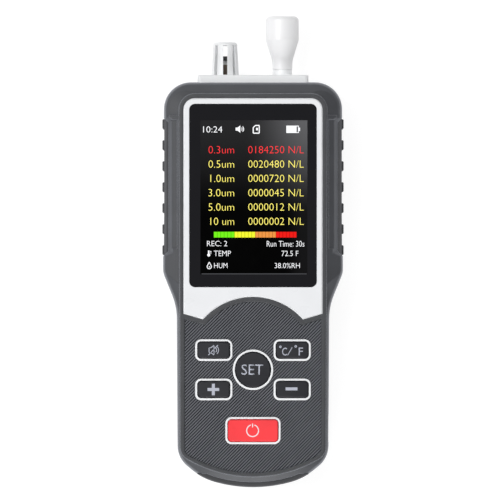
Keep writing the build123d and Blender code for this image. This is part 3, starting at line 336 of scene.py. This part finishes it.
def polished_black(name, color, roughness, level):
    """Deep black under a hard gloss, with the faint waviness of a moulded window."""
    material, tree, shader = start_finish(name, color, roughness)
    shader.inputs["Specular IOR Level"].default_value = level
    gloss = spread(tree, noise(tree, SMEAR_MM), roughness - 0.02, roughness + 0.03)
    tree.links.new(gloss, shader.inputs["Roughness"])
    grained(tree, shader, WAVE_MM, WAVE_DEPTH_MM)
    return material


finishes["lens_black"] = polished_black("polished_lens", BLACK, 0.08, 0.5)
finishes["display_dark"] = polished_black("display_glass", (0.006, 0.006, 0.007), 0.2, 0.3)

for name, part in parts.items():
    finish = finishes[slot_of[name]]
    part.data.materials.clear()
    part.data.materials.append(finish)
print("dressed parts:", len(parts))

# %% [markdown]
# ## Thin prints
# Legends and characters are very thin raised layers of ink, about as thick as a screen print. They
# could be painted in an image, but as geometry they stay sharp at any distance. Each one is a flat
# shape, given its thickness by extruding its faces, and then stood on the surface that carries it, sunk
# into it by a hair. Extruding leaves the faces in a chance order, so they are sorted by place, and each
# run writes the same mesh.

# %% Thin prints
INK = 0.03 * MM
SINK = 0.005 * MM
SAME_PLACE = 1e-7


def top_of(node):
    """Height of a CAD part's upper face."""
    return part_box(node)[1][2]


def middle_of(node):
    """Middle of a CAD part in plan, in metres."""
    low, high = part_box(node)
    return (low[0] + high[0]) / 2, (low[1] + high[1]) / 2


def added(name, data):
    """A new object in the scene, at the origin."""
    item = bpy.data.objects.new(name, data)
    bpy.context.scene.collection.objects.link(item)
    return item


def face_place(face):
    """Middle, direction and outline length of a face, rounded to a tenth of a micron."""
    values = (*face.calc_center_median(), *face.normal, face.calc_perimeter())
    return [round(value, 7) for value in values]


def stand(name, mesh_bm, height, thickness, body, finish):
    """Gives flat faces a thickness, sets them on a height, and adds them as one piece."""
    bmesh.ops.remove_doubles(mesh_bm, verts=mesh_bm.verts, dist=SAME_PLACE)
    bmesh.ops.recalc_face_normals(mesh_bm, faces=mesh_bm.faces)
    for face in mesh_bm.faces:
        if face.normal.z > 0:
            face.normal_flip()
    grown = bmesh.ops.extrude_face_region(mesh_bm, geom=list(mesh_bm.faces))
    risen = [item for item in grown["geom"] if isinstance(item, bmesh.types.BMVert)]
    bmesh.ops.translate(mesh_bm, verts=risen, vec=(0, 0, thickness))
    bmesh.ops.translate(mesh_bm, verts=mesh_bm.verts, vec=(0, 0, height - SINK))
    bmesh.ops.recalc_face_normals(mesh_bm, faces=mesh_bm.faces)
    ranks = {face: rank for rank, face in enumerate(sorted(mesh_bm.faces, key=face_place))}
    mesh_bm.faces.sort(key=ranks.get)
    mesh = bpy.data.meshes.new(name)
    mesh_bm.to_mesh(mesh)
    mesh_bm.free()
    piece = added(name, mesh)
    mesh.materials.append(finish)
    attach(piece, body)
    return piece

# %% [markdown]
# ## Flat shapes
# A sign is drawn from a few kinds of flat shape, all given in millimetres: words, polygons, upright bars,
# slanted strokes and arcs. Text starts as a font curve. It is turned into a mesh first and fitted to a box
# of the size wanted, which keeps every line of characters at its place whatever the font. An arc is a
# short radial edge spun round its centre.

# %% Flat shapes
def add_text(mesh_bm, words, left, right, low, high, thinning):
    """Adds words as flat faces that fill a box in millimetres, with strokes thinner than the font's."""
    curve = bpy.data.curves.new("words", "FONT")
    curve.body = words
    curve.resolution_u = 3
    curve.offset = -thinning
    holder = added("words", curve)
    bpy.context.view_layer.update()
    shaped = holder.evaluated_get(bpy.context.evaluated_depsgraph_get())
    mesh = bpy.data.meshes.new_from_object(shaped)
    bpy.data.objects.remove(holder)
    bpy.data.curves.remove(curve)
    across = [vertex.co.x for vertex in mesh.vertices]
    up = [vertex.co.y for vertex in mesh.vertices]
    stretch_x = (right - left) * MM / (max(across) - min(across))
    stretch_y = (high - low) * MM / (max(up) - min(up))
    to_box = Matrix.Translation((left * MM, low * MM, 0))
    to_box = to_box @ Matrix.Diagonal((stretch_x, stretch_y, 1, 1))
    mesh.transform(to_box @ Matrix.Translation((-min(across), -min(up), 0)))
    mesh_bm.from_mesh(mesh)
    bpy.data.meshes.remove(mesh)


def add_shape(mesh_bm, corners):
    """Adds one flat face from corner points in millimetres."""
    mesh_bm.faces.new([mesh_bm.verts.new((x * MM, y * MM, 0)) for x, y in corners])


def add_bar(mesh_bm, left, right, low, high):
    """Adds an upright rectangle."""
    add_shape(mesh_bm, [(left, low), (right, low), (right, high), (left, high)])


def add_stroke(mesh_bm, start, end, width):
    """Adds a straight stroke of a given width between two points."""
    begin, finish = Vector(start), Vector(end)
    side = (finish - begin).normalized().orthogonal() * width / 2
    add_shape(mesh_bm, [begin - side, finish - side, finish + side, begin + side])


def add_arc(mesh_bm, x, y, radius, width, start_deg, sweep_deg, steps=24):
    """Adds a ring or part of one by spinning a short radial edge."""
    turn = Matrix.Rotation(radians(start_deg), 4, "Z")
    centre = Vector((x * MM, y * MM, 0))
    ends = [centre + turn @ Vector(((radius + side * width / 2) * MM, 0, 0)) for side in (-1, 1)]
    inner, outer = [mesh_bm.verts.new(spot) for spot in ends]
    edge = mesh_bm.edges.new((inner, outer))
    bmesh.ops.spin(
        mesh_bm,
        geom=[inner, outer, edge],
        cent=centre,
        axis=(0, 0, 1),
        angle=radians(sweep_deg),
        steps=steps,
        use_merge=abs(sweep_deg) == 360,
    )

# %% [markdown]
# ## Key legends
# The legends are printed in a cool grey-white ink, and the power sign in a paler one that stands out on
# the red cap. A sign is drawn round the origin and then moved to its cap's middle, which the frame
# gives. Each rides with its own key, so a pressed key carries its sign down with it.

# %% Legend inks and printing
ink = moulded("legend_ink", (0.46, 0.48, 0.56), 0.42, grain_mm=0.3, depth_mm=0.003, corner_mm=0)
pale_ink = moulded("pale_ink", (0.84, 0.70, 0.73), 0.42, grain_mm=0.3, depth_mm=0.003, corner_mm=0)


def print_on_key(key, bm):
    """Stands a legend on its key's cap."""
    centre = middle_of(f"{key}_key")
    bmesh.ops.translate(bm, verts=bm.verts, vec=(*centre, 0))
    finish = pale_ink if key == "power" else ink
    stand(f"{key}_legend", bm, top_of(f"{key}_key"), INK, f"{key}_button", finish)


print("inks:", ink.name, pale_ink.name)

# %% [markdown]
# ## Signs of the keys
# Bars, strokes and arcs are enough for most of the signs, and only letters need a font. The loudspeaker
# is an outline crossed out by a slanted stroke, and the power sign is a ring with a gap at the top where
# a short bar stands. Each sign sits off its cap's middle by as much as it does on the real key.

# %% Signs of the keys
def plus_sign(length=5.4, width=1.4):
    """Two crossed bars, a little left of the cap's middle."""
    bm = bmesh.new()
    x, half, thick = -0.2, length / 2, width / 2
    add_bar(bm, x - half, x + half, -thick, thick)
    add_bar(bm, x - thick, x + thick, thick, half)
    add_bar(bm, x - thick, x + thick, -half, -thick)
    return bm


def minus_sign(length=5.5, width=1.4):
    """One bar, a little left of the cap's middle and above it."""
    bm = bmesh.new()
    x, y = -0.33, 0.28
    add_bar(bm, x - length / 2, x + length / 2, y - width / 2, y + width / 2)
    return bm


def set_word():
    """The word on the round key."""
    bm = bmesh.new()
    add_text(bm, "SET", -5.35, 4.75, -2.3, 2.55, thinning=0.003)
    return bm


def unit_signs():
    """Two temperature units, each with its small ring, and a slanted stroke between them."""
    bm = bmesh.new()
    add_arc(bm, -5.5, 1.55, 0.4, 0.36, 0, 360, 16)
    add_text(bm, "C", -4.7, -2.45, -2.5, 1.15, thinning=0)
    add_stroke(bm, (-2.15, -2.4), (-0.05, 1.25), 0.3)
    add_arc(bm, 1.6, 1.75, 0.4, 0.36, 0, 360, 16)
    add_text(bm, "F", 3.0, 5.0, -2.45, 1.2, thinning=0)
    return bm


def muted_speaker():
    """Loudspeaker with sound waves, crossed out."""
    bm = bmesh.new()
    cone = [(-2.2, 1.1), (-1.3, 1.1), (0.1, 2.3), (0.1, -2.3), (-1.3, -1.1), (-2.2, -1.1)]
    for start, end in zip(cone, cone[1:] + cone[:1]):
        add_stroke(bm, start, end, 0.34)
    for radius, steps in ((1.25, 8), (2.15, 10)):
        add_arc(bm, 0.1, 0, radius, 0.3, -50, 100, steps)
    add_stroke(bm, (-2.5, -2.3), (1.9, 2.35), 0.36)
    return bm


def power_sign():
    """Ring with a gap at the top for a short bar."""
    bm = bmesh.new()
    add_arc(bm, -0.2, 0, 2.75, 0.52, 108, 324, 32)
    add_bar(bm, -0.46, 0.06, 1.5, 3.3)
    return bm

# %% [markdown]
# ## Printing the legends
# With the signs drawn, one loop prints them all. The names of the keys lead to their caps in the frame,
# so no position is typed twice.

# %% Print the legends
signs = {
    "mute": muted_speaker(),
    "units": unit_signs(),
    "plus": plus_sign(),
    "minus": minus_sign(),
    "set": set_word(),
    "power": power_sign(),
}
for key, sign in signs.items():
    print_on_key(key, sign)
print("legends:", ", ".join(signs))

# %% [markdown]
# ## The lit display
# The display's dark leaf lies on the lens. It is darker than the polished border, because the bonded
# display reflects less, and it carries a painted reflection: a faint grey sheen, strongest at its top
# right.
# A lamp could throw that reflection, but smooth fades of the leaf's own colour paint it in place whatever
# the light.

# %% Display leaf
SCREEN_LEFT, SCREEN_RIGHT = -24.5, 25.3
SCREEN_LOW, SCREEN_HIGH = -10.8, 60.9
LEAF = 0.012 * MM
LEAF_WAVE_DEPTH_MM = 0.001
BLUER = 1.05


def mixed(tree, amount, low, high):
    """A colour between two, each given as a grey value or as another node's colour."""
    mix = tree.nodes.new("ShaderNodeMix")
    mix.data_type = "RGBA"
    tree.links.new(amount, mix.inputs["Factor"])
    for socket, color in (("A", low), ("B", high)):
        if isinstance(color, float):
            mix.inputs[socket].default_value = (color, color, color * BLUER, 1)
        else:
            tree.links.new(color, mix.inputs[socket])
    return mix.outputs["Result"]


def glass_with_painted_reflection():
    """Display glass: nearly black, with a painted grey reflection that is strongest at its top right."""
    material, tree, shader = start_finish("display_leaf", (0.001, 0.001, 0.001), 0.25)
    shader.inputs["Specular IOR Level"].default_value = 0.03
    place = place_in(tree, "Object")

    def fade(axis, start_mm, end_mm):
        return ranged(tree, along(tree, place, axis), start_mm * MM, end_mm * MM, smooth=True)

    # These fades paint the reflection: the colour lightens towards the top and towards the right.
    upper = mixed(tree, fade("X", -4, 27), 0.020, 0.115)
    lower = mixed(tree, fade("X", 14, 24), 0.0005, 0.007)
    tree.links.new(mixed(tree, fade("Y", 16, 64), lower, upper), shader.inputs["Base Color"])
    tree.links.new(spread(tree, noise(tree, SMEAR_MM), 0.22, 0.28), shader.inputs["Roughness"])
    grained(tree, shader, WAVE_MM, LEAF_WAVE_DEPTH_MM)
    return material


lens_top = top_of("display_lens")
leaf_top = lens_top + LEAF - SINK
leaf_bm = bmesh.new()
add_bar(leaf_bm, SCREEN_LEFT, SCREEN_RIGHT, SCREEN_LOW, SCREEN_HIGH)
stand("display_leaf", leaf_bm, lens_top, LEAF, "case", glass_with_painted_reflection())
print("display leaf at", round(leaf_top / MM, 2), "mm")

# %% [markdown]
# ## Characters that shine
# On the real display the lit dots give off their own light. A plain bright colour would dim with the
# studio, so the characters' shader emits light in the colour of the character. They stand on the leaf
# as the legends stand on the keys, but belong to the case.

# %% Lit characters
DOT_MM, DOT_DEPTH_MM = 0.6, 0.001


def shining(name, color, strength=0.9):
    """Characters of a lit display."""
    material, tree, shader = start_finish(name, (0.004, 0.004, 0.004), 0.3)
    shader.inputs["Specular IOR Level"].default_value = 0.05
    shader.inputs["Emission Color"].default_value = (*color, 1)
    shader.inputs["Emission Strength"].default_value = strength
    gloss = spread(tree, noise(tree, DOT_MM), 0.26, 0.34)
    tree.links.new(gloss, shader.inputs["Roughness"])
    grained(tree, shader, DOT_MM, DOT_DEPTH_MM)
    return material


def show(name, bm, finish):
    """Stands lit characters on the display leaf."""
    stand(name, bm, leaf_top, LEAF, "case", finish)


white_light = shining("white_characters", (0.90, 0.91, 0.93), 1.2)
red_light = shining("red_characters", (0.92, 0.035, 0.04), 1.3)
yellow_light = shining("yellow_characters", (0.86, 0.76, 0.15), 1.5)
print("character colours:", white_light.name, red_light.name, yellow_light.name)

# %% [markdown]
# ## Counts on the display
# Six rows give the particle sizes and their counts. The first row is red, as an alarm, and the rest are
# yellow, so the rows make two pieces with one colour each. Every row is fitted to the same box, which
# lines the columns up as the display's fixed grid does. The numbers are only examples.

# %% Count rows
ROW_TOP, ROW_PITCH, ROW_HEIGHT = 48.9, 6.66, 3.4
LABEL_LEFT, LABEL_RIGHT = -20.7, -8.8
NARROW_ONE = 0.9
COUNT_THINNING = 0.017
VALUE_LEFT, VALUE_RIGHT = -2.2, 23.6
rows = [
    ("0.3um", "0184250 N/L"),
    ("0.5um", "0020480 N/L"),
    ("1.0um", "0000720 N/L"),
    ("3.0um", "0000045 N/L"),
    ("5.0um", "0000012 N/L"),
    ("10 um", "0000002 N/L"),
]
alarm_bm, counts_bm = bmesh.new(), bmesh.new()
for index, (label, value) in enumerate(rows):
    target = counts_bm if index else alarm_bm
    high = ROW_TOP - index * ROW_PITCH
    left = LABEL_LEFT + (NARROW_ONE if label.startswith("1") else 0)
    add_text(target, label, left, LABEL_RIGHT, high - ROW_HEIGHT, high, COUNT_THINNING)
    add_text(target, value, VALUE_LEFT, VALUE_RIGHT, high - ROW_HEIGHT, high, COUNT_THINNING)
show("alarm_row", alarm_bm, red_light)
show("count_rows", counts_bm, yellow_light)
print("count rows:", len(rows))

# %% [markdown]
# ## Level bar
# A bar of small segments runs from green to red below the counts. A gradient could colour it, but the
# real bar changes in steps, so each colour is one piece, made of equal segments with hair-thin gaps.

# %% Level bar
BAR_LEFT, BAR_RIGHT, BAR_LOW, BAR_HIGH = -18.2, 20.35, 6.35, 9.0
SEGMENTS_EACH = 6
SEGMENT_GAP = 0.12
LEVEL_STRENGTH = 1.04
levels = [
    ("green", (0.17, 0.88, 0.005)),
    ("yellow", (0.91, 0.93, 0.025)),
    ("orange", (0.84, 0.30, 0.055)),
    ("red", (0.86, 0.006, 0.003)),
]
segment = (BAR_RIGHT - BAR_LEFT) / (SEGMENTS_EACH * len(levels))
for group, (name, color) in enumerate(levels):
    bm = bmesh.new()
    for index in range(SEGMENTS_EACH):
        left = BAR_LEFT + (group * SEGMENTS_EACH + index) * segment
        add_bar(bm, left, left + segment - SEGMENT_GAP, BAR_LOW, BAR_HIGH)
    show(f"level_{name}", bm, shining(f"level_{name}", color, LEVEL_STRENGTH))
print("level segments:", SEGMENTS_EACH * len(levels), "of", round(segment, 2), "mm")

# %% [markdown]
# ## Status signs
# The display has small signs for sound, memory card, battery, temperature and humidity. They are a few
# millimetres high, so each is made of as few shapes as it takes to read it, with its place and size
# given by the caller.

# %% Status signs
def small_speaker(bm, x, y):
    """Loudspeaker with two sound waves."""
    back, neck, front = x - 2.0, x - 1.1, x + 0.2
    narrow, wide = 0.7, 1.7
    lower = [(back, y - narrow), (neck, y - narrow), (front, y - wide)]
    upper = [(front, y + wide), (neck, y + narrow), (back, y + narrow)]
    add_shape(bm, lower + upper)
    for radius, steps in ((0.95, 6), (1.65, 8)):
        add_arc(bm, x + 0.1, y, radius, 0.34, -45, 90, steps)


def card_sign(bm, left, right, low, high):
    """Outline of a memory card with a cut corner, and its contact."""
    cut, edge = 1.0, 0.5
    corners = [(left + cut, high), (right, high), (right, low), (left, low), (left, high - cut)]
    for begin, end in zip(corners, corners[1:] + corners[:1]):
        add_stroke(bm, begin, end, edge)
    add_bar(bm, left + 1.35, right - 0.6, low + 1.3, high - 1.1)


def battery_sign(bm, left, right, low, high):
    """A battery that is full but for a dark notch near its cap."""
    wall, cap, notch = 0.35, 0.6, 0.7
    shoulder = right - cap
    charged = shoulder - wall - notch
    add_bar(bm, left, charged, low, high)
    add_bar(bm, charged, shoulder - wall, low, low + wall)
    add_bar(bm, charged, shoulder - wall, high - wall, high)
    add_bar(bm, shoulder - wall, shoulder, low, high)
    add_bar(bm, shoulder, right, low + 0.9, high - 0.9)


def thermometer_sign(bm, x, low, high):
    """A round bulb below a narrow tube, with two marks beside the tube."""
    bulb = 0.72
    add_arc(bm, x, low + bulb, bulb / 2, bulb, 0, 360, 14)
    add_bar(bm, x - 0.33, x + 0.33, low + 2 * bulb - 0.1, high)
    for step in (0.3, 1.0):
        add_bar(bm, x + 0.55, x + 1.25, high - step - 0.32, high - step)


def drop_sign(bm, x, low, high):
    """Outline of a drop: an open ring below, closed by two strokes that meet above, with a dot inside."""
    radius, width, shoulder_deg = 1.0, 0.36, 30
    y = low + radius
    add_arc(bm, x, y, radius, width, 180 - shoulder_deg, 180 + 2 * shoulder_deg, 14)
    across, up = radius * cos(radians(shoulder_deg)), radius * sin(radians(shoulder_deg))
    for side in (-1, 1):
        add_stroke(bm, (x + side * across, y + up), (x, high), width)
    add_arc(bm, x + 0.1, y - 0.1, 0.16, 0.3, 0, 360, 8)

# %% [markdown]
# ## Status line and readings
# Small white characters give the time and the state along the top, and temperature and humidity below.
# A list of words and boxes keeps the layout in one place, easy to compare with the real display.

# %% Status line and readings
SMALL_THINNING = 0.008
status_bm = bmesh.new()
add_text(status_bm, "10:24", -23.2, -14.3, 55.2, 58.1, SMALL_THINNING)
small_speaker(status_bm, -6.1, 56.8)
card_sign(status_bm, 0.1, 2.9, 54.9, 58.5)
battery_sign(status_bm, 15.5, 21.9, 55.0, 58.4)
show("status_line", status_bm, white_light)

readings_bm = bmesh.new()
texts = [
    ("REC: 2", -21.4, -12.0, 2.3, 4.8),
    ("Run Time: 30s", 6.4, 23.9, 2.1, 4.8),
    ("TEMP", -18.2, -10.3, -2.3, 0.2),
    ("72.5 F", 13.3, 21.1, -2.3, 0.2),
    ("HUM", -18.1, -11.9, -7.9, -5.5),
    ("38.0%RH", 10.1, 21.8, -7.9, -5.5),
]
for words, *box in texts:
    add_text(readings_bm, words, *box, SMALL_THINNING)
thermometer_sign(readings_bm, -20.6, -2.5, 0.3)
drop_sign(readings_bm, -20.35, -8.2, -5.1)
show("readings", readings_bm, white_light)
print("readings:", len(texts))

# %% [markdown]
# ## Light leak
# A thin line of the display's backlight leaks out along its lower edge. It is one dim bar, far weaker
# than the characters, but it shows where the display ends.

# %% Glow along the lower edge
EDGE_LEFT, EDGE_RIGHT = SCREEN_LEFT + 0.6, SCREEN_RIGHT - 0.3
EDGE_HEIGHT = 0.45
edge_bm = bmesh.new()
add_bar(edge_bm, EDGE_LEFT, EDGE_RIGHT, SCREEN_LOW, SCREEN_LOW + EDGE_HEIGHT)
show("display_edge", edge_bm, shining("edge_glow", (0.075, 0.077, 0.085), 0.8))
print("edge glow:", EDGE_HEIGHT, "mm high")

# %% [markdown]
# ## The table
# The instrument lies face up on a white table that glows, as a light table does, so that hardly any
# shadow shows. The table is clear from below, so that the back can be looked at, and a hair below the
# case, so that no two faces lie in one plane.

# %% Table
TABLE_GAP = 0.2 * MM
TABLE_HALF = 3.0
TABLE_GLOW = 0.86
table_bm = bmesh.new()
below = Matrix.Translation((0, 0, -TABLE_GAP))
bmesh.ops.create_grid(table_bm, x_segments=2, y_segments=2, size=TABLE_HALF, matrix=below)
table_mesh = bpy.data.meshes.new("table")
table_bm.to_mesh(table_mesh)
table_bm.free()
table = added("table", table_mesh)
print("table:", 2 * TABLE_HALF, "m wide")
paper, paper_tree, paper_shader = start_finish("table_paper", (0.25, 0.25, 0.25), 0.9)
paper_shader.inputs["Specular IOR Level"].default_value = 0.1
paper_shader.inputs["Emission Color"].default_value = (1, 1, 1, 1)
paper_shader.inputs["Emission Strength"].default_value = TABLE_GLOW
seen_from_below = paper_tree.nodes.new("ShaderNodeNewGeometry")
clear = paper_tree.nodes.new("ShaderNodeBsdfTransparent")
one_sided = paper_tree.nodes.new("ShaderNodeMixShader")
paper_tree.links.new(seen_from_below.outputs["Backfacing"], one_sided.inputs["Fac"])
paper_tree.links.new(paper_shader.outputs["BSDF"], one_sided.inputs[1])
paper_tree.links.new(clear.outputs["BSDF"], one_sided.inputs[2])
paper_tree.links.new(one_sided.outputs["Shader"], paper_tree.nodes["Material Output"].inputs["Surface"])
table_mesh.materials.append(paper)

# %% [markdown]
# ## The camera
# The camera hangs straight above the instrument. A near camera would show the sides of the probe and the
# inlet, so it stands far off with a long lens, and almost nothing converges. The lens is worked out from
# the width that the picture has to cover at the height of the instrument's face.

# %% Camera
PICTURE_PIXELS, MM_PER_PIXEL = 500, 0.4668
SENSOR_MM = 36
CAMERA_HEIGHT = 2.6
FACE_HEIGHT = 0.030
VIEW_DEPTH = 20
CENTRE_X, CENTRE_Y = -1.4 * MM, 0.54 * MM
camera_data = bpy.data.cameras.new("camera")
camera_data.sensor_width = SENSOR_MM
camera_data.lens = SENSOR_MM * (CAMERA_HEIGHT - FACE_HEIGHT) / (PICTURE_PIXELS * MM_PER_PIXEL * MM)
camera_data.clip_end = VIEW_DEPTH
camera = added("camera", camera_data)
camera.location = (CENTRE_X, CENTRE_Y, CAMERA_HEIGHT)
bpy.context.scene.camera = camera
print("lens:", round(camera_data.lens), "mm")

# %% [markdown]
# ## Soft lights
# Product pictures are lit by softboxes, which give broad and gentle highlights. Area lights are their
# match in Blender. Three stand round the table, the brightest on the left, and the camera doesn't see
# them.

# %% Lights
def softbox(name, place, size, power, aim=(0, 0, 0.02)):
    """A square area light that faces the instrument."""
    data = bpy.data.lights.new(name, "AREA")
    data.shape = "SQUARE"
    data.size = size
    data.energy = power
    lamp = added(name, data)
    lamp.location = place
    lamp.rotation_euler = (Vector(place) - Vector(aim)).to_track_quat("Z", "Y").to_euler()
    lamp.visible_camera = False


softboxes = {
    "left_softbox": ((-0.8, 0.25, 1.6), 0.8, 16),
    "front_softbox": ((0.0, -1.5, 0.9), 0.9, 14),
    "back_softbox": ((-0.1, 0.9, 1.6), 0.8, 6),
}
for name, (place, size, power) in softboxes.items():
    softbox(name, place, size, power)
print("softboxes:", len(softboxes))

# %% [markdown]
# ## The sky
# A polished lens mirrors what is above it and has to stay black, so the sky is dim overhead. It is
# brighter low down, where it lights the sides of the case. One smooth fade by height joins the two. The
# camera itself sees plain white, as on a paper backdrop.

# %% Sky
HORIZON, ZENITH = 0.5, 0.25
HORIZON_TOP, ZENITH_EDGE = 0.1, 0.55
world = bpy.data.worlds.new("studio")
world.use_nodes = True
sky = world.node_tree
backdrop = sky.nodes["Background"]
backdrop.inputs["Color"].default_value = (1, 1, 1, 1)
rise = along(sky, place_in(sky, "Generated"), "Z")
fall = ranged(sky, rise, HORIZON_TOP, ZENITH_EDGE, HORIZON, ZENITH, smooth=True)
path = sky.nodes.new("ShaderNodeLightPath")
plain = sky.nodes.new("ShaderNodeMath")
plain.operation = "MAXIMUM"
sky.links.new(fall, plain.inputs[0])
sky.links.new(path.outputs["Is Camera Ray"], plain.inputs[1])
sky.links.new(plain.outputs["Value"], backdrop.inputs["Strength"])
bpy.context.scene.world = world
bpy.context.scene.view_settings.view_transform = "Standard"
print("sky:", HORIZON, "low down,", ZENITH, "overhead")
